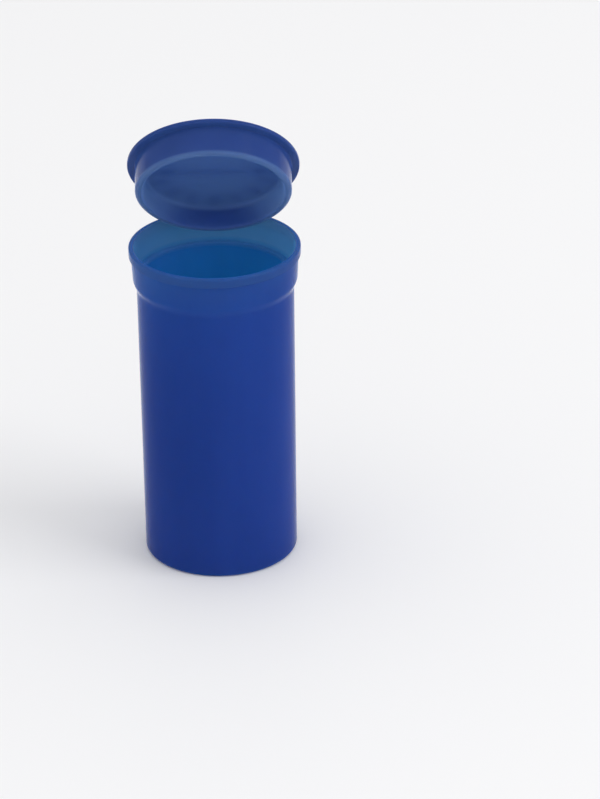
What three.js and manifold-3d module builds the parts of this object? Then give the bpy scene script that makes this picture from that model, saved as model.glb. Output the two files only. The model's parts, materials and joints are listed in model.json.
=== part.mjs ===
// Squeeze-top prescription vial, standing open: a round polypropylene vial whose
// plug lid is moulded in one shot with it and hangs on a living hinge.
// Millimetres, +Z up. The origin is the centre of the vial's flat base. The hinge
// is at the back (+Y) and its line runs along X.
import * as THREE from "three";
import { mergeVertices } from "three/addons/utils/BufferGeometryUtils.js";
import Module from "manifold-3d";

const wasm = await Module();
wasm.setup();

// ---- driving dimensions -------------------------------------------------
const SEGMENTS = 64; // facets round each turned section

const HEIGHT = 77.6; // base to the top of the rim
const BODY_R_BASE = 17.95; // outside, just above the base corner
const BODY_R_TOP = 18.25; // outside, just below the collar
const BORE_R_BASE = 16.85; // inside, just above the floor
const BORE_R_TOP = 17.0; // inside, at the ledge
const FLOOR = 1.2; // floor thickness
const BASE_CORNER = 1.0; // radius of the base's outer corner

const COLLAR_R = 19.4; // thickened collar, under the lip
const COLLAR_R_LOW = 19.1; // the same collar at its lower edge
const COLLAR_END = 9.8; // depth below the rim where the collar has run out
const COLLAR_EDGE = 8.7; // depth below the rim of the collar's lower edge
const LEDGE_DEPTH = 7.08; // ledge where the seat steps in to the bore
// Wall round the lid's plug, as [radius, depth]. It flares towards the rim, so
// that the plug's front edge clears it as the lid swings.
const SEAT = [
  [18.75, 0.45],
  [18.67, 2.3],
  [18.5, 4.0],
  [18.32, 5.5],
  [18.17, 6.6],
];

const RIM_R = 19.91; // outward lip
const RIM_DEPTH = 2.3; // lip's height, underside bevel included

const HINGE_Y = 19.6; // hinge line behind the vial's axis, on the tabs' flat
const TAB_HALF = 7.1; // half width of the hinge tabs
const WEB_HALF = 6.8; // half width of the hinge's web
const WEB_T = 0.3; // web thickness

const LID_OPEN = 53.76; // degrees that the lid stands open
const LID_R = 19.9; // lid flange
const LID_GAP = 0.03; // closed lid's flange above the rim
const LID_T = 1.2; // top of the lid's edge ring above the rim plane, closed
const RECESS_R = 17.95; // sunk middle of the lid's top
const RECESS_Z = 0.5; // its height above the rim plane, closed
const COVER_UNDER = -1.2; // underside of the lid's middle, closed
const PLUG_R_TOP = 18.14; // plug, at the flange
const PLUG_R_END = 18.05; // plug, where its end starts to round off
const PLUG_END = -7.0; // tip of the plug, closed
const PLUG_BORE_R = 16.35; // inside of the plug
const PLUG_FILLET = 1.2; // fillet between the lid's underside and the plug

const RELIEF = 0.3; // height of the raised arrow and marks
const ARROW_HALF = 14.3; // half length of the double arrow
const ARROW_W = 0.8; // width of its shaft
const HEAD_L = 5.0; // length of an arrowhead's barb
const HEAD_W = 1.75; // how far a barb's end stands from the shaft's middle
const BARB_W = 0.7; // width of a barb
const MARK_COUNT = 7; // plain raised pads on an arc by the hinge
const MARK_PITCH = 23.2; // degrees from pad to pad
const MARK_R = 13.1; // radius of their arc
const MARK_RADIAL = 2.2; // half length of a pad along the radius
const MARK_ACROSS = 0.85; // half width of a pad
const SKIN = 0.02; // clearance between sections of the turned lid

// ---- helpers ------------------------------------------------------------
const solidOf = (geometry) => {
  const g = geometry.clone();
  g.deleteAttribute("normal");
  g.deleteAttribute("uv");
  const m = mergeVertices(g, 1e-4);
  return new wasm.Manifold(
    new wasm.Mesh({
      numProp: 3,
      vertProperties: m.attributes.position.array,
      triVerts: new Uint32Array(m.index.array),
    }),
  );
};

const geometryOf = (solid) => {
  const mesh = solid.getMesh();
  const g = new THREE.BufferGeometry();
  g.setAttribute(
    "position",
    new THREE.BufferAttribute(new Float32Array(mesh.vertProperties), 3),
  );
  g.setIndex(new THREE.BufferAttribute(new Uint32Array(mesh.triVerts), 1));
  return g;
};

// Turned section about Z from [radius, height] pairs, listed up the outside and
// back down the inside or the axis. A ring's profile closes on itself.
const turned = (profile) => {
  const g = new THREE.LatheGeometry(
    profile.map(([r, z]) => new THREE.Vector2(r, z)),
    SEGMENTS,
  );
  g.rotateX(Math.PI / 2);
  g.deleteAttribute("normal");
  g.deleteAttribute("uv");
  return mergeVertices(g, 1e-4);
};
const ring = (profile) => turned([...profile, profile[0]]);

const block = (x0, x1, y0, y1, z0, z1) =>
  new THREE.BoxGeometry(x1 - x0, y1 - y0, z1 - z0).translate(
    (x0 + x1) / 2,
    (y0 + y1) / 2,
    (z0 + z1) / 2,
  );

// Prism along Z from an outline in XY.
const prism = (outline, z0, z1) => {
  const shape = new THREE.Shape(outline.map(([x, y]) => new THREE.Vector2(x, y)));
  return new THREE.ExtrudeGeometry(shape, {
    depth: z1 - z0,
    bevelEnabled: false,
  }).translate(0, 0, z0);
};

const blue = (name, colour, roughness) =>
  new THREE.MeshStandardMaterial({ name, color: colour, roughness, metalness: 0 });
const vialBlue = blue("vial_plastic", 0x24428c, 0.28);
const lidBlue = blue("lid_plastic", 0x2a4a92, 0.32);
const webBlue = blue("hinge_plastic", 0x2f519b, 0.38);

const group = new THREE.Group();
const add = (parent, name, geometry, material) => {
  geometry.computeVertexNormals();
  const mesh = new THREE.Mesh(geometry, material);
  mesh.name = name;
  parent.add(mesh);
  return mesh;
};

// ---- vial ---------------------------------------------------------------
const c = BASE_CORNER;
add(
  group,
  "vial_base",
  turned([
    [0, 0],
    [BODY_R_BASE - c, 0],
    [BODY_R_BASE - 0.5 * c, 0.134 * c],
    [BODY_R_BASE - 0.134 * c, 0.5 * c],
    [BODY_R_BASE, c],
    [BODY_R_BASE, FLOOR],
    [0, FLOOR],
  ]),
  vialBlue,
);

const collarFoot = HEIGHT - COLLAR_END;
const boreAt = (z) =>
  BORE_R_BASE +
  ((BORE_R_TOP - BORE_R_BASE) * (z - FLOOR)) / (HEIGHT - LEDGE_DEPTH - FLOOR);
add(
  group,
  "vial_wall",
  ring([
    [BODY_R_BASE, FLOOR],
    [BODY_R_TOP, collarFoot],
    [boreAt(collarFoot), collarFoot],
    [boreAt(FLOOR + 1.0), FLOOR + 1.0],
    [BORE_R_BASE - 0.25, FLOOR + 0.3],
    [BORE_R_BASE - 0.95, FLOOR],
  ]),
  vialBlue,
);

const lipFoot = HEIGHT - RIM_DEPTH;
add(
  group,
  "vial_collar",
  ring([
    [BODY_R_TOP, collarFoot],
    [COLLAR_R_LOW - 0.2, HEIGHT - COLLAR_EDGE - 0.2],
    [COLLAR_R_LOW, HEIGHT - COLLAR_EDGE + 0.25],
    [COLLAR_R, lipFoot],
    ...SEAT.slice(1).map(([r, depth]) => [r, HEIGHT - depth]),
    [SEAT[4][0] - 0.12, HEIGHT - LEDGE_DEPTH],
    [BORE_R_TOP + 0.15, HEIGHT - LEDGE_DEPTH],
    [BORE_R_TOP, HEIGHT - LEDGE_DEPTH - 0.2],
    [boreAt(collarFoot), collarFoot],
  ]),
  vialBlue,
);

// Rim lip, trimmed flat at the back and carrying the vial's hinge tab.
const lip = solidOf(
  ring([
    [COLLAR_R, lipFoot],
    [RIM_R - 0.12, lipFoot + 0.06],
    [RIM_R, lipFoot + 0.3],
    [RIM_R, HEIGHT - 0.35],
    [RIM_R - 0.3, HEIGHT],
    [SEAT[0][0] + 0.3, HEIGHT],
    [SEAT[0][0], HEIGHT - SEAT[0][1]],
    [SEAT[1][0], lipFoot],
  ]),
);
const vialTab = solidOf(
  block(-TAB_HALF, TAB_HALF, 17.0, HINGE_Y, HEIGHT - 1.9, HEIGHT),
).subtract(
  solidOf(
    turned([
      [0, HEIGHT - 4],
      [SEAT[0][0] + 0.35, HEIGHT - 4],
      [SEAT[0][0] + 0.35, HEIGHT + 2],
      [0, HEIGHT + 2],
    ]),
  ),
);
add(
  group,
  "vial_rim",
  geometryOf(
    lip
      .add(vialTab)
      .subtract(solidOf(block(-30, 30, HINGE_Y, 40, HEIGHT - 5, HEIGHT + 5))),
  ),
  vialBlue,
);

// ---- lid ----------------------------------------------------------------
// Drawn closed, with heights from the rim plane, and swung open about the hinge.
const hinge = new THREE.Group();
hinge.position.set(0, HINGE_Y, HEIGHT);
hinge.rotation.x = -THREE.MathUtils.degToRad(LID_OPEN);
group.add(hinge);
const lid = new THREE.Group();
lid.position.set(0, -HINGE_Y, 0);
hinge.add(lid);

const flange = solidOf(
  turned([
    [0, COVER_UNDER],
    [PLUG_BORE_R - 2 * SKIN, COVER_UNDER],
    [PLUG_BORE_R - 2 * SKIN, LID_GAP],
    [LID_R - 0.25, LID_GAP],
    [LID_R, LID_GAP + 0.25],
    [LID_R, LID_T - 0.5],
    [LID_R - 0.15, LID_T - 0.15],
    [LID_R - 0.5, LID_T],
    [RECESS_R + 0.6, LID_T],
    [RECESS_R, RECESS_Z],
    [0, RECESS_Z],
  ]),
);
const lidTab = solidOf(
  block(-TAB_HALF, TAB_HALF, 18.8, HINGE_Y, LID_GAP, LID_T - 0.1),
);
add(
  lid,
  "lid_cover",
  geometryOf(
    flange
      .add(lidTab)
      .subtract(solidOf(block(-30, 30, HINGE_Y, 40, -5, 5))),
  ),
  lidBlue,
);

add(
  lid,
  "lid_plug",
  ring([
    [PLUG_R_END - 0.75, PLUG_END],
    [PLUG_R_END - 0.2, PLUG_END + 0.22],
    [PLUG_R_END, PLUG_END + 0.5],
    [PLUG_R_TOP, LID_GAP - SKIN],
    [PLUG_BORE_R, LID_GAP - SKIN],
    [PLUG_BORE_R, COVER_UNDER - SKIN],
    [PLUG_BORE_R - PLUG_FILLET, COVER_UNDER - SKIN],
    [PLUG_BORE_R - 0.55 * PLUG_FILLET, COVER_UNDER - 0.13 * PLUG_FILLET],
    [PLUG_BORE_R - 0.13 * PLUG_FILLET, COVER_UNDER - 0.55 * PLUG_FILLET],
    [PLUG_BORE_R, COVER_UNDER - PLUG_FILLET],
    [PLUG_BORE_R, PLUG_END + 0.35],
    [PLUG_BORE_R + 0.3, PLUG_END],
  ]),
  lidBlue,
);

const reliefFoot = RECESS_Z + SKIN;
const reliefTop = RECESS_Z + RELIEF;
// Double arrow: a shaft with two slender barbs at each end.
const slope = Math.atan2(HEAD_W, HEAD_L);
const barbEnd = [ARROW_HALF - HEAD_L, HEAD_W];
const barbInner = [
  barbEnd[0] - Math.sin(slope) * BARB_W,
  barbEnd[1] - Math.cos(slope) * BARB_W,
];
const notch = [
  barbInner[0] + (barbInner[1] - ARROW_W / 2) / Math.tan(slope),
  ARROW_W / 2,
];
const quarter = [notch, barbInner, barbEnd]; // up to the tip, right upper side
const arrowOutline = [
  ...quarter,
  [ARROW_HALF, 0],
  ...quarter.toReversed().map(([x, y]) => [x, -y]),
  ...quarter.map(([x, y]) => [-x, -y]),
  [-ARROW_HALF, 0],
  ...quarter.toReversed().map(([x, y]) => [-x, y]),
];
add(lid, "lid_arrow", prism(arrowOutline, reliefFoot, reliefTop), lidBlue);

for (let i = 0; i < MARK_COUNT; i++) {
  const a = THREE.MathUtils.degToRad(
    90 + (i - (MARK_COUNT - 1) / 2) * MARK_PITCH,
  );
  const outline = [];
  for (let k = 0; k < 16; k++) {
    const t = (k / 16) * 2 * Math.PI;
    const u = MARK_R + MARK_RADIAL * Math.cos(t);
    const v = MARK_ACROSS * Math.sin(t);
    outline.push([
      u * Math.cos(a) - v * Math.sin(a),
      u * Math.sin(a) + v * Math.cos(a),
    ]);
  }
  add(lid, `lid_mark_${i + 1}`, prism(outline, reliefFoot, reliefTop), lidBlue);
}

// ---- living hinge web ----------------------------------------------------
// Thin strip over the two tabs' outer faces, bent as it is with the lid open.
const open = THREE.MathUtils.degToRad(LID_OPEN);
const down = [0, -1]; // along the vial tab's face, in (y, z) from the hinge line
const out = [Math.sin(open), Math.cos(open)]; // along the lid tab's face
const vialNormal = [1, 0];
const lidNormal = [Math.cos(open), -Math.sin(open)];
const along = (d, s, n, o) => [d[0] * s + n[0] * o, d[1] * s + n[1] * o];
const mitre = (o) => {
  // where the two faces' offset lines meet
  const k = o / (1 + vialNormal[0] * lidNormal[0] + vialNormal[1] * lidNormal[1]);
  return [
    k * (vialNormal[0] + lidNormal[0]),
    k * (vialNormal[1] + lidNormal[1]),
  ];
};
const near = 0.04;
const far = near + WEB_T;
const strip = [
  along(down, 1.5, vialNormal, near),
  along(down, 1.5, vialNormal, far),
  mitre(far),
  along(out, 0.8, lidNormal, far),
  along(out, 0.8, lidNormal, near),
  mitre(near),
];
const webShape = new THREE.Shape(strip.map(([y, z]) => new THREE.Vector2(y, z)));
const web = new THREE.ExtrudeGeometry(webShape, {
  depth: 2 * WEB_HALF,
  bevelEnabled: false,
});
web.applyMatrix4(
  new THREE.Matrix4().makeBasis(
    new THREE.Vector3(0, 1, 0),
    new THREE.Vector3(0, 0, 1),
    new THREE.Vector3(1, 0, 0),
  ),
);
web.translate(-WEB_HALF, HINGE_Y, HEIGHT);
add(group, "hinge_web", web, webBlue);

export default group;
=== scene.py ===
import json
import math

import bmesh
import bpy
from mathutils import Matrix, Vector


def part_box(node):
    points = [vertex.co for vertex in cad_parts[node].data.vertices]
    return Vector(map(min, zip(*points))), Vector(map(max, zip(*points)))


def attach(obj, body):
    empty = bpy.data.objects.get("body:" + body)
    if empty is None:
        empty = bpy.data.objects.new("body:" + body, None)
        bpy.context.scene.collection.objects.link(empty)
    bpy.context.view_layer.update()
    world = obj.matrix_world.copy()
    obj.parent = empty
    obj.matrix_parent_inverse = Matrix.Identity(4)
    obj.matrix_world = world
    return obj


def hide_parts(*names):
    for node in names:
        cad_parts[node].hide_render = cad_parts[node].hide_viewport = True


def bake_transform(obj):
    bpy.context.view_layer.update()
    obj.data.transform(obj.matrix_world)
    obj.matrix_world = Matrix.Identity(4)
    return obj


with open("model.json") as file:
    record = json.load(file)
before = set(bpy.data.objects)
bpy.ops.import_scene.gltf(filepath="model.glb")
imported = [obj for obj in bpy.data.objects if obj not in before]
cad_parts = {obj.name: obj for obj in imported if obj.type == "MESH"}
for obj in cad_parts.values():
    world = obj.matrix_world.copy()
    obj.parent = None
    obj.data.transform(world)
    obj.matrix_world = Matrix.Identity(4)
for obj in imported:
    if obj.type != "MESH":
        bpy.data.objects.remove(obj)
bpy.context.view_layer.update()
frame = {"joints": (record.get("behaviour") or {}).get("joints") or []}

MM = 0.001

# ---- sizes, from the CAD nodes (mm) ---------------------------------------
joint = next(j for j in frame["joints"] if j["name"] == "lid_hinge")
HINGE_Y, H = joint["pos_m"][1] / MM, joint["pos_m"][2] / MM
OPEN = -math.radians(joint["range_deg"][0])  # the lid closes through this angle


def lo(node):
    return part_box(node)[0] / MM


def hi(node):
    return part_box(node)[1] / MM


RIM_R = hi("vial_rim").x
LID_R = hi("lid_cover").x
COLLAR_R = hi("vial_collar").x
BODY_R = hi("vial_wall").x
BASE_R = hi("vial_base").x
FLOOR = hi("vial_base").z
COLLAR_FOOT = lo("vial_collar").z
LIP_FOOT = lo("vial_rim").z
PLUG_R = hi("lid_plug").x
TAB = 7.1
TAB_Y = HINGE_Y - 0.3

# ---- mesh helpers ----------------------------------------------------------


def rounded(points, closed=False, step=14.0):
    """Polyline through (a, b, radius) corners, each corner rounded to its radius."""
    out = []
    n = len(points)
    for i, (x, y, r) in enumerate(points):
        if (not closed and i in (0, n - 1)) or r <= 0:
            out.append((x, y))
            continue
        p = Vector((x, y))
        a = Vector(points[(i - 1) % n][:2]) - p
        b = Vector(points[(i + 1) % n][:2]) - p
        la, lb = a.length, b.length
        a.normalize()
        b.normalize()
        inside = math.acos(max(-1.0, min(1.0, a.dot(b))))
        if math.pi - inside < 0.02:
            out.append((x, y))
            continue
        cut = min(r / math.tan(inside / 2), 0.49 * la, 0.49 * lb)
        r = cut * math.tan(inside / 2)
        centre = p + (a + b).normalized() * (r / math.sin(inside / 2))
        s, e = p + a * cut - centre, p + b * cut - centre
        turn = math.atan2(s.x * e.y - s.y * e.x, s.dot(e))
        k = max(2, int(abs(math.degrees(turn)) / step + 0.5))
        for j in range(k + 1):
            c, d = math.cos(turn * j / k), math.sin(turn * j / k)
            out.append((centre.x + s.x * c - s.y * d, centre.y + s.x * d + s.y * c))
    return out


def supported(line, near=0.3, most=3.0, closed=False):
    """Adds points along long stretches, close to their ends and then evenly."""
    out = []
    n = len(line)
    for i in range(n if closed else n - 1):
        a, b = Vector(line[i]), Vector(line[(i + 1) % n])
        out.append(tuple(a))
        d = (b - a).length
        if d > 3.2 * near:
            marks = [near]
            inner = d - 2 * near
            k = max(1, math.ceil(inner / most))
            marks += [near + inner * j / k for j in range(1, k + 1)]
            out += [tuple(a.lerp(b, m / d)) for m in marks]
    if not closed:
        out.append(tuple(line[-1]))
    return out


def new_object(name, bm, body, material, place=None):
    mesh = bpy.data.meshes.new(name)
    bmesh.ops.remove_doubles(bm, verts=bm.verts, dist=1e-4)
    bmesh.ops.recalc_face_normals(bm, faces=bm.faces)
    if place is not None:
        bm.transform(place)
    bm.transform(Matrix.Scale(MM, 4))
    for f in bm.faces:
        f.smooth = True
    bm.to_mesh(mesh)
    bm.free()
    o = bpy.data.objects.new(name, mesh)
    bpy.context.scene.collection.objects.link(o)
    mesh.materials.append(material)
    if body:
        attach(o, body)
    return o


def spun(profile, angles, reach=None):
    """Turned solid about Z. reach(radius, height, angle) may move a point outwards."""
    bm = bmesh.new()
    rings = []
    for a in angles:
        ca, sa = math.cos(a), math.sin(a)
        row = []
        for r, z in profile:
            q = reach(r, z, a) if reach else r
            row.append(bm.verts.new((q * ca, q * sa, z)))
        rings.append(row)
    n, m = len(angles), len(profile)
    for i in range(n):
        p, q = rings[i], rings[(i + 1) % n]
        for j in range(m - 1):
            on0, on1 = profile[j][0] < 1e-6, profile[j + 1][0] < 1e-6
            if on0 and on1:
                continue
            if on0:
                bm.faces.new((p[j], p[j + 1], q[j + 1]))
            elif on1:
                bm.faces.new((p[j], p[j + 1], q[j]))
            else:
                bm.faces.new((p[j], p[j + 1], q[j + 1], q[j]))
    return bm


def tab_outline(radius, flat_y, half, corner=0.35, root=0.5):
    """Plan outline of a round flange with a flat hinge tab, as (angle, radius) pairs."""
    meet = math.sqrt(radius**2 - half**2)
    pts = [(half, meet - 2.2, 0.0), (half, flat_y, corner), (-half, flat_y, corner)]
    # the tab's sides run out of the round, with a small root radius
    side = rounded(
        [
            (radius * math.cos(a), radius * math.sin(a), 0.0)
            for a in [math.acos(half / radius) - math.radians(k) for k in (8, 5, 3)]
        ]
        + [(half, meet, root), (half, flat_y, corner), (0.0, flat_y, 0.0)],
    )
    polar = [(math.atan2(y, x), math.hypot(x, y)) for x, y in side]
    kept = [polar[0]]
    for a, r in polar[1:]:
        if a > kept[-1][0] + 1e-4:
            kept.append((a, r))
    return kept


def flange_reach(radius, flat_y, half):
    outline = tab_outline(radius, flat_y, half)

    def edge(angle):
        a = math.atan2(math.sin(angle), math.cos(angle))
        if a > math.pi / 2:
            a = math.pi - a
        if a < outline[0][0]:
            return radius
        for (a0, r0), (a1, r1) in zip(outline, outline[1:]):
            if a0 <= a <= a1:
                t = (a - a0) / (a1 - a0)
                flat = flat_y / math.sin(a)
                return flat if (r0 * math.sin(a0) > flat_y - 1e-3 and r1 * math.sin(a1) > flat_y - 1e-3) else r0 + (r1 - r0) * t
        return flat_y / math.sin(a)

    return edge, [a for a, _ in outline]


def steps(special, count=240):
    """Angles round a turn: even steps, and the tab's own corners."""
    even = [2 * math.pi * i / count for i in range(count)]
    own = sorted(
        set(round(a, 5) for s in special for a in (s, math.pi - s)),
    )
    gap = 2 * math.pi / count * 0.35
    kept = [a for a in even if all(abs(a - s) > gap for s in own)]
    return sorted(kept + own)


# ---- materials -------------------------------------------------------------


def plastic(name, deep, pale, glow, roughness, seed, level, painted_light_zones=None, waviness=1.0, sss=0.5):
    """Moulded polypropylene: a slightly translucent body colour with faint flow
    clouding, a soft gloss with fine haze, and the long waviness of a thin moulding."""
    m = bpy.data.materials.new(name)
    m.use_nodes = True
    nt = m.node_tree
    nt.nodes.clear()
    N, L = nt.nodes.new, nt.links.new
    out = N("ShaderNodeOutputMaterial")
    p = N("ShaderNodeBsdfPrincipled")
    # the thin wall lets some blue-green daylight through
    through = N("ShaderNodeBsdfTranslucent")
    both = N("ShaderNodeAddShader")
    L(p.outputs[0], both.inputs[0])
    L(through.outputs[0], both.inputs[1])
    L(both.outputs[0], out.inputs[0])
    geo = N("ShaderNodeTexCoord")

    def noise(scale, detail, offset, stretch=(1, 1, 1), rough=0.5):
        mp = N("ShaderNodeMapping")
        mp.inputs["Location"].default_value = (offset + seed, seed * 0.7, offset)
        mp.inputs["Scale"].default_value = stretch
        L(geo.outputs["Object"], mp.inputs[0])
        t = N("ShaderNodeTexNoise")
        t.inputs["Scale"].default_value = scale
        t.inputs["Detail"].default_value = detail
        t.inputs["Roughness"].default_value = rough
        L(mp.outputs[0], t.inputs[0])
        return t.outputs["Fac"]

    def ranged(value, a, b, c, d):
        r = N("ShaderNodeMapRange")
        r.inputs["From Min"].default_value = a
        r.inputs["From Max"].default_value = b
        r.inputs["To Min"].default_value = c
        r.inputs["To Max"].default_value = d
        L(value, r.inputs["Value"])
        return r.outputs[0]

    def mix(fac, a, b, blend="MIX"):
        x = N("ShaderNodeMix")
        x.data_type = "RGBA"
        x.blend_type = blend
        if isinstance(fac, float):
            x.inputs[0].default_value = fac
        else:
            L(fac, x.inputs[0])
        for s, v in ((6, a), (7, b)):
            if isinstance(v, tuple):
                x.inputs[s].default_value = (*v, 1)
            else:
                L(v, x.inputs[s])
        return x.outputs[2]

    def maths(op, a, b=None):
        x = N("ShaderNodeMath")
        x.operation = op
        for s, v in ((0, a), (1, b)):
            if v is None:
                continue
            if isinstance(v, (int, float)):
                x.inputs[s].default_value = v
            else:
                L(v, x.inputs[s])
        return x.outputs[0]

    # flow clouding: long faint streaks up the wall and softer clouds across it
    cloud = noise(38.0, 3.0, 1.3, (1, 1, 0.35))
    streak = noise(160.0, 2.0, 4.1, (1, 1, 0.05))
    fine = noise(900.0, 2.0, 7.7)
    f = maths("ADD", ranged(cloud, 0.3, 0.7, 0.0, 0.7), ranged(streak, 0.3, 0.7, 0.0, 0.3))
    colour = mix(f, deep, pale)
    # pigment specks, barely there
    speck = ranged(noise(2600.0, 1.0, 11.0), 0.68, 0.78, 0.0, 0.25)
    colour = mix(speck, colour, tuple(c * 1.25 for c in pale))
    light = mix(f, glow, tuple(c * 1.12 for c in glow))
    if painted_light_zones:
        # painted light zones: height along the moulding's own axis and distance from that axis
        origin, axis = painted_light_zones[0], painted_light_zones[1]
        rel = N("ShaderNodeVectorMath")
        rel.operation = "SUBTRACT"
        rel.inputs[1].default_value = origin
        L(geo.outputs["Object"], rel.inputs[0])
        dot = N("ShaderNodeVectorMath")
        dot.operation = "DOT_PRODUCT"
        dot.inputs[1].default_value = axis
        L(rel.outputs[0], dot.inputs[0])
        long = N("ShaderNodeVectorMath")
        long.operation = "LENGTH"
        L(rel.outputs[0], long.inputs[0])
        h = dot.outputs["Value"]
        square = maths("SUBTRACT", maths("POWER", long.outputs["Value"], 2.0), maths("MULTIPLY", h, h))
        radius = maths("SQRT", maths("MAXIMUM", square, 0.0))
        for h0, h1, r0, r1, share, painted_surface, painted_through in painted_light_zones[2]:
            painted_share = maths(
                "MULTIPLY",
                maths("MULTIPLY", ranged(h, h0 * MM, h1 * MM, 0.0, 1.0), ranged(radius, r0 * MM, r1 * MM, 0.0, 1.0)),
                share,
            )
            # painted light: the zone's paler surface and through colours stand in for highlight, sheen and light
            # reaching shaded hollows
            colour = mix(painted_share, colour, painted_surface)
            light = mix(painted_share, light, painted_through)
    L(colour, p.inputs["Base Color"])
    L(light, through.inputs["Color"])

    p.inputs["Subsurface Weight"].default_value = sss
    p.inputs["Subsurface Radius"].default_value = (0.35, 1.0, 1.25)
    p.inputs["Subsurface Scale"].default_value = 0.0016
    p.inputs["IOR"].default_value = 1.49
    p.inputs["Specular IOR Level"].default_value = level
    haze = noise(55.0, 4.0, 2.2, (1, 1, 0.5), 0.6)
    scuff = noise(420.0, 3.0, 9.0, (1, 1, 0.16), 0.7)
    r = maths("ADD", ranged(haze, 0.3, 0.7, roughness - 0.03, roughness + 0.05), ranged(scuff, 0.55, 0.8, 0.0, 0.05))
    L(r, p.inputs["Roughness"])

    wave = noise(26.0, 1.0, 3.3, (1, 1, 0.6))
    ripple = noise(240.0, 2.0, 5.0, (1, 1, 0.25))
    b1 = N("ShaderNodeBump")
    b1.inputs["Strength"].default_value = 0.35 * waviness
    b1.inputs["Distance"].default_value = 0.0004
    L(wave, b1.inputs["Height"])
    b2 = N("ShaderNodeBump")
    b2.inputs["Strength"].default_value = 0.12 * waviness
    b2.inputs["Distance"].default_value = 0.00006
    L(ripple, b2.inputs["Height"])
    L(b1.outputs[0], b2.inputs["Normal"])
    b3 = N("ShaderNodeBump")
    b3.inputs["Strength"].default_value = 0.08
    b3.inputs["Distance"].default_value = 0.00002
    L(fine, b3.inputs["Height"])
    L(b2.outputs[0], b3.inputs["Normal"])
    L(b3.outputs[0], p.inputs["Normal"])
    return m


DEEP = (0.0125, 0.030, 0.165)
PALE = (0.0165, 0.037, 0.188)
GLOW = (0.045, 0.235, 0.385)
LID_DEEP = (0.0095, 0.026, 0.138)
LID_PALE = (0.0135, 0.033, 0.158)
LID_GLOW = (0.095, 0.155, 0.25)
# painted light in the mouth: the seat wall inside gets a paler, greyer through colour,
# partly from its thin wall passing more light and partly as a painted sheen; the lip's
# outer band is a painted highlight. Heights, radii (mm, from one end of the change to
# the other), share, surface and through colours
MOUTH_PAINTED_LIGHT = (
    (H - 8.2, H - 6.0, 19.0, 18.8, 1.0, (0.016, 0.040, 0.120), (0.52, 0.41, 0.50)),
    (H - 2.7, H - 2.1, 19.15, 19.35, 0.7, (0.022, 0.045, 0.160), (0.06, 0.22, 0.34)),
)
UP = Vector((0, math.sin(OPEN), math.cos(OPEN)))  # the lid's own axis as it rests
MID = Vector((0, HINGE_Y * (1 - math.cos(OPEN)), H + HINGE_Y * math.sin(OPEN))) * MM
# painted light on the lid, same columns in the lid's own heights: the plug's end is painted paler as a highlight,
# and the cup's inner wall and underside are painted lighter where the lid shades them
CUP_PAINTED_LIGHT = (
    (-6.0, -6.7, 0.0, 1.0, 0.8, (0.050, 0.100, 0.240), (0.30, 0.36, 0.40)),
    (-0.6, -1.6, 16.8, 16.5, 1.0, (0.030, 0.064, 0.225), (0.36, 0.46, 0.55)),
)
vial_mat = plastic(
    "vial_polypropylene", DEEP, PALE, GLOW, 0.09, 0.0, 0.03, ((0, 0, 0), (0, 0, 1), MOUTH_PAINTED_LIGHT)
)
lid_mat = plastic(
    "lid_polypropylene", LID_DEEP, LID_PALE, LID_GLOW, 0.15, 3.0, 0.08, (MID, UP, CUP_PAINTED_LIGHT)
)
# the relief shares the lid's colours, but its through colour is paler so that the shade it casts through the lid's
# underside is lightened: painted light
relief_mat = plastic(
    "lid_relief_polypropylene", LID_DEEP, LID_PALE, (0.26, 0.40, 0.50), 0.15, 3.0, 0.08
)
web_mat = plastic(
    "hinge_polypropylene", (0.014, 0.040, 0.17), (0.03, 0.070, 0.24), LID_GLOW, 0.2, 6.0, 0.08
)

# ---- vial ------------------------------------------------------------------
vial_profile = supported(
    rounded(
        [
            (0.0, 0.0, 0),
            (14.4, 0.0, 0.1),
            (14.5, 0.2, 0.1),
            (15.0, 0.2, 0.1),
            (15.1, 0.0, 0.1),
            (BASE_R - 0.02, 0.0, 1.05),
            (BODY_R, COLLAR_FOOT - 0.35, 2.6),
            (COLLAR_R - 0.33, H - 8.3, 2.4),
            (COLLAR_R, LIP_FOOT - 0.03, 0.12),
            (RIM_R, LIP_FOOT + 0.05, 0.2),
            (RIM_R, H, 0.5),
            (18.72, H, 0.35),
            (18.67, H - 2.3, 0.5),
            (18.5, H - 4.0, 0.5),
            (18.32, H - 5.5, 0.5),
            (18.17, H - 6.6, 0.5),
            (18.08, H - 7.08, 0.3),
            (17.0, H - 7.1, 0.3),
            (16.86, FLOOR, 1.3),
            (0.0, FLOOR, 0),
        ]
    )
)
edge, corners = flange_reach(RIM_R, TAB_Y, TAB)
angles = steps(corners)


def rim_reach(r, z, a):
    if r < COLLAR_R - 0.45:
        return r
    if z < LIP_FOOT - 0.06:
        # the collar is shaved flat below the hinge tab
        flat = TAB_Y / math.sin(a) if math.sin(a) > 0.9 else r
        return min(r, flat)
    if r < COLLAR_R - 0.2:
        return r
    t = max(0.0, min(1.0, (r - (COLLAR_R - 0.15)) / (RIM_R - COLLAR_R + 0.15)))
    t = t ** 0.6
    return r + (edge(a) - RIM_R) * t


vial = new_object(
    "vial_body",
    spun(vial_profile, angles, rim_reach),
    "vial",
    vial_mat,
)
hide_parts("vial_base", "vial_wall", "vial_collar", "vial_rim")

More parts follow.
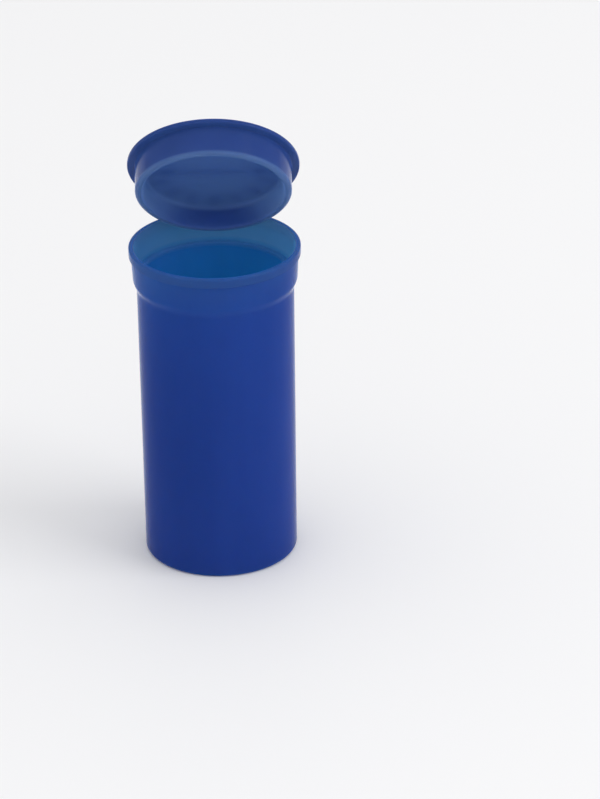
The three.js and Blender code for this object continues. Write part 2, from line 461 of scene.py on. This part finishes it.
# ---- lid -------------------------------------------------------------------
# Drawn closed with heights from the rim plane, then swung to where it rests.
SWING = (
    Matrix.Translation((0, HINGE_Y, H))
    @ Matrix.Rotation(-OPEN, 4, "X")
    @ Matrix.Translation((0, -HINGE_Y, 0))
)
LID_GAP, LID_TOP, RECESS = 0.03, 1.2, 0.5
lid_profile = supported(
    rounded(
        [
            (0.0, RECESS, 0),
            (17.95, RECESS, 0.3),
            (18.5, LID_TOP, 0.3),
            (LID_R, LID_TOP, 0.5),
            (LID_R, LID_GAP, 0.35),
            (PLUG_R, LID_GAP, 0.12),
            (PLUG_R - 0.09, -6.5, 0.3),
            (17.8, -6.8, 0.25),
            (17.3, -7.0, 0.3),
            (16.65, -7.0, 0.25),
            (16.35, -6.6, 0.3),
            (16.35, -1.2, 1.2),
            (0.0, -1.2, 0),
        ]
    )
)
lid_edge, lid_corners = flange_reach(LID_R, TAB_Y, TAB)


def lid_reach(r, z, a):
    if z < LID_GAP - 0.01 or r < 18.9:
        return r
    t = max(0.0, min(1.0, (r - 18.9) / (LID_R - 18.9))) ** 0.7
    return r + (lid_edge(a) - LID_R) * t


lid = new_object(
    "lid_body",
    spun(lid_profile, steps(lid_corners), lid_reach),
    "lid",
    lid_mat,
    SWING,
)
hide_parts("lid_cover", "lid_plug")


def raised(name, outline, foot, top, soft, material):
    """Low relief with rounded shoulders, from a closed outline in plan."""
    bm = bmesh.new()
    base = [bm.verts.new((x, y, foot)) for x, y in outline]
    face = bm.faces.new(base)
    grown = bmesh.ops.extrude_face_region(bm, geom=[face])
    up = [v for v in grown["geom"] if isinstance(v, bmesh.types.BMVert)]
    bmesh.ops.translate(bm, verts=up, vec=(0, 0, top - foot))
    edges = [e for e in bm.edges if all(abs(v.co.z - top) < 1e-6 for v in e.verts)]
    bmesh.ops.bevel(
        bm, geom=edges, offset=soft, segments=4, profile=0.5, affect="EDGES", clamp_overlap=True
    )
    o = new_object(name, bm, "lid", material, SWING)
    return o


ARROW_HALF, SHAFT = 14.3, 0.8
HEAD_L, HEAD_W, BARB = 5.0, 1.75, 0.7
slope = math.atan2(HEAD_W, HEAD_L)
tip = ARROW_HALF
end = (tip - HEAD_L, HEAD_W)
inner = (end[0] - math.sin(slope) * BARB, end[1] - math.cos(slope) * BARB)
notch = (inner[0] + (inner[1] - SHAFT / 2) / math.tan(slope), SHAFT / 2)
quarter = [(*notch, 0.12), (*inner, 0.2), (*end, 0.2)]
outline = (
    quarter
    + [(tip, 0.0, 0.15)]
    + [(x, -y, r) for x, y, r in reversed(quarter)]
    + [(-x, -y, r) for x, y, r in quarter]
    + [(-tip, 0.0, 0.15)]
    + [(-x, y, r) for x, y, r in reversed(quarter)]
)
outline = rounded(outline, closed=True, step=20)
arrow = raised("lid_arrow_relief", outline, RECESS - 0.05, RECESS + 0.3, 0.13, relief_mat)
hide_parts("lid_arrow")

for i in range(7):
    a = math.radians(90 + (i - 3) * 23.2)
    pts = []
    for k in range(40):
        t = 2 * math.pi * k / 40
        u, v = 13.1 + 2.2 * math.cos(t), 0.85 * math.sin(t)
        pts.append(
            (u * math.cos(a) - v * math.sin(a), u * math.sin(a) + v * math.cos(a))
        )
    pad = raised(f"lid_pad_{i + 1}", pts, RECESS - 0.05, RECESS + 0.3, 0.16, relief_mat)
    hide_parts(f"lid_mark_{i + 1}")

# ---- living hinge ----------------------------------------------------------
co, so = math.cos(OPEN), math.sin(OPEN)


def on_lid(y, z):
    """A point by the closed lid's tab, from the hinge line, swung open."""
    return (y * co + z * so, -y * so + z * co)


T = 0.34
line = []
for z in (-1.9, -1.55, -1.2, -0.85, -0.5, -0.25, -0.1):
    line.append(((0.0, z), (-T, z)))
for k in range(0, 9):
    a = OPEN * k / 8
    p = (-0.30 * math.cos(a), 0.30 * math.sin(a))
    q = (0.03 * math.cos(a + 2.2), 0.0)
    line.append(((0.0, 0.0) if k in (3, 4, 5) else (0.0, -0.04) if k < 3 else on_lid(0.0, 0.04), p))
for z in (0.1, 0.25, 0.45, 0.65, 0.9):
    line.append((on_lid(0.0, z), on_lid(-T, z)))
bm = bmesh.new()
xs = [-TAB + 0.02 + (2 * TAB - 0.04) * i / 24 for i in range(25)]
grid = []
for x in xs:
    row_out = [bm.verts.new((x, HINGE_Y + o[0], H + o[1])) for o, _ in line]
    row_in = [bm.verts.new((x, HINGE_Y + p[0], H + p[1])) for _, p in line]
    grid.append((row_out, row_in))
m = len(line)
for (a_out, a_in), (b_out, b_in) in zip(grid, grid[1:]):
    for j in range(m - 1):
        bm.faces.new((a_out[j], a_out[j + 1], b_out[j + 1], b_out[j]))
        bm.faces.new((a_in[j], b_in[j], b_in[j + 1], a_in[j + 1]))
    bm.faces.new((a_out[0], b_out[0], b_in[0], a_in[0]))
    bm.faces.new((a_out[-1], a_in[-1], b_in[-1], b_out[-1]))
for row_out, row_in in (grid[0], grid[-1]):
    for j in range(m - 1):
        bm.faces.new((row_out[j], row_in[j], row_in[j + 1], row_out[j + 1]))
web = new_object("hinge_web_strip", bm, None, web_mat)
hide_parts("hinge_web")
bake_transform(web)

# ---- floor -----------------------------------------------------------------
bm = bmesh.new()
bmesh.ops.create_grid(bm, x_segments=8, y_segments=8, size=4.0)
mesh = bpy.data.meshes.new("studio_floor")
bm.to_mesh(mesh)
bm.free()
floor = bpy.data.objects.new("studio_floor", mesh)
bpy.context.scene.collection.objects.link(floor)
fm = bpy.data.materials.new("studio_floor")
fm.use_nodes = True
fp = fm.node_tree.nodes["Principled BSDF"]
fp.inputs["Base Color"].default_value = (0.87, 0.87, 0.873, 1)
fp.inputs["Roughness"].default_value = 0.55
fp.inputs["Specular IOR Level"].default_value = 0.25
mesh.materials.append(fm)

# ---- light and camera ------------------------------------------------------
scene = bpy.context.scene
scene.view_settings.view_transform = "Standard"
scene.view_settings.look = "None"
world = bpy.data.worlds.new("studio")
scene.world = world
world.use_nodes = True
wt = world.node_tree
bg = wt.nodes["Background"]
sky = wt.nodes.new("ShaderNodeTexCoord")
parts = wt.nodes.new("ShaderNodeSeparateXYZ")
rise = wt.nodes.new("ShaderNodeMapRange")
blend = wt.nodes.new("ShaderNodeMix")
blend.data_type = "RGBA"
rise.inputs["From Min"].default_value = 0.0
rise.inputs["From Max"].default_value = 1.0
blend.inputs[6].default_value = (0.47, 0.47, 0.475, 1)
blend.inputs[7].default_value = (1.14, 1.14, 1.15, 1)
wt.links.new(sky.outputs["Generated"], parts.inputs[0])
wt.links.new(parts.outputs[2], rise.inputs["Value"])
wt.links.new(rise.outputs[0], blend.inputs[0])
wt.links.new(blend.outputs[2], bg.inputs[0])
bg.inputs[1].default_value = 1.0


def panel(name, at, aim, size, power, colour=(1, 1, 1)):
    d = bpy.data.lights.new(name, "AREA")
    d.shape = "RECTANGLE"
    d.size, d.size_y = size
    d.energy = power
    d.color = colour
    o = bpy.data.objects.new(name, d)
    scene.collection.objects.link(o)
    o.location = at
    o.rotation_mode = "QUATERNION"
    o.rotation_quaternion = (Vector(aim) - Vector(at)).to_track_quat("-Z", "Y")
    return o


panel("right_softbox", (1.6, -0.6, 1.2), (0.02, 0, 0.05), (1.3, 1.3), 14.0)

E, ROLL, CX, D, OFF = 0.456617, -0.01541, 19.1515, 1054.397, 37.328
cam_data = bpy.data.cameras.new("camera")
cam_data.lens = 4499.0 * 36.0 / 799.0
cam_data.sensor_width = 36.0
cam_data.clip_start, cam_data.clip_end = 0.05, 20
cam = bpy.data.objects.new("camera", cam_data)
scene.collection.objects.link(cam)
cam.location = (CX * MM, -D * math.cos(E) * MM, (OFF + D * math.sin(E)) * MM)
right = Vector((1, 0, 0))
up = Vector((0, math.sin(E), math.cos(E)))
back = Vector((0, -math.cos(E), math.sin(E)))
basis = Matrix((right, up, back)).transposed().to_4x4()
cam.rotation_mode = "QUATERNION"
cam.rotation_quaternion = (basis @ Matrix.Rotation(ROLL, 4, "Z")).to_quaternion()
scene.camera = cam
